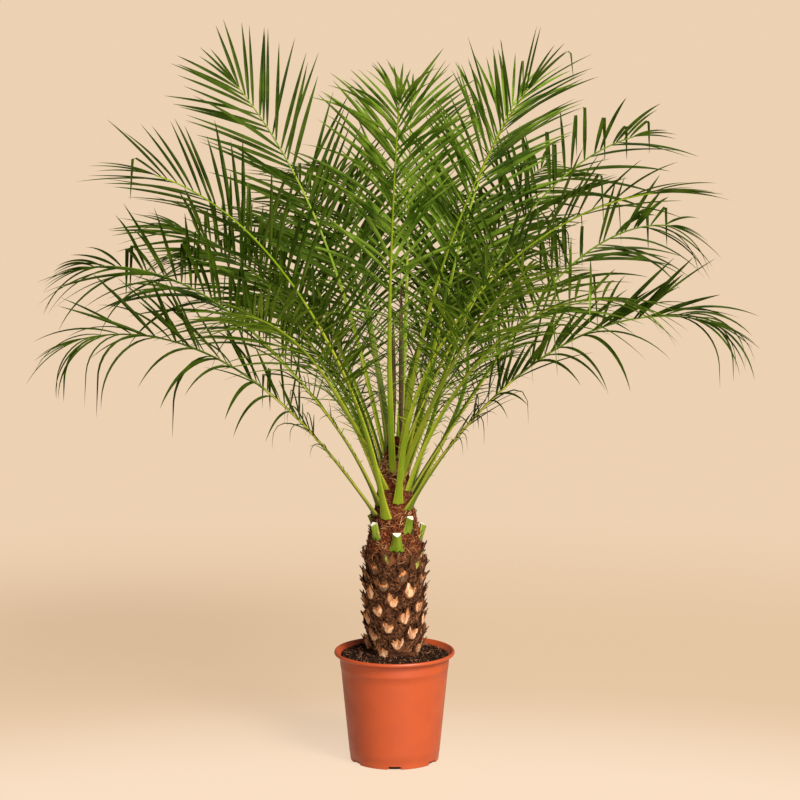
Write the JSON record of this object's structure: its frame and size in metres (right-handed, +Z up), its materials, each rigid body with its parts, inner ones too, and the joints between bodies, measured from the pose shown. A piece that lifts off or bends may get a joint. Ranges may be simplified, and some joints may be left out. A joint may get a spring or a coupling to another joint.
{
  "type": "potted canary island date palm",
  "caption": "Young date palm with a stout trunk of cut leaf bases and a full crown of arching feather fronds, in a round tapered nursery pot.",
  "frame": {"origin": "centre of the pot's flat underside, on the ground, on the axis of pot and trunk", "axes": "+Z up along the trunk; +X to the right and -Y towards the viewer in the reference view"},
  "size_m": [1.9513, 2.0032, 1.9651],
  "materials": {
    "pot": "satin",
    "soil": "matte",
    "bark": "matte",
    "spear": "matte",
    "frond": "satin"
  },
  "bodies": {
    "root": {"frond_01": "frond", "frond_02": "frond", "frond_02_outer": "frond", "frond_03": "frond", "frond_03_outer": "frond", "frond_04": "frond", "frond_04_outer": "frond", "frond_05": "frond", "frond_05_outer": "frond", "frond_06": "frond", "frond_06_outer": "frond", "frond_07": "frond", "frond_08": "frond", "frond_08_outer": "frond", "frond_09": "frond", "frond_09_outer": "frond", "frond_10": "frond", "frond_11": "frond", "frond_11_outer": "frond", "frond_12": "frond", "frond_12_outer": "frond", "frond_13": "frond", "frond_14": "frond", "frond_15": "frond", "frond_16": "frond", "frond_17": "frond", "frond_18": "frond", "frond_19": "frond", "frond_19_outer": "frond", "frond_20": "frond", "frond_21": "frond", "frond_22": "frond", "frond_23": "frond", "frond_24": "frond", "frond_24_outer": "frond", "frond_25": "frond", "frond_26": "frond", "pot": "pot", "soil": "soil", "spear_1": "spear", "spear_2": "spear", "spear_3": "spear", "trunk": "bark"}
  },
  "joints": []
}
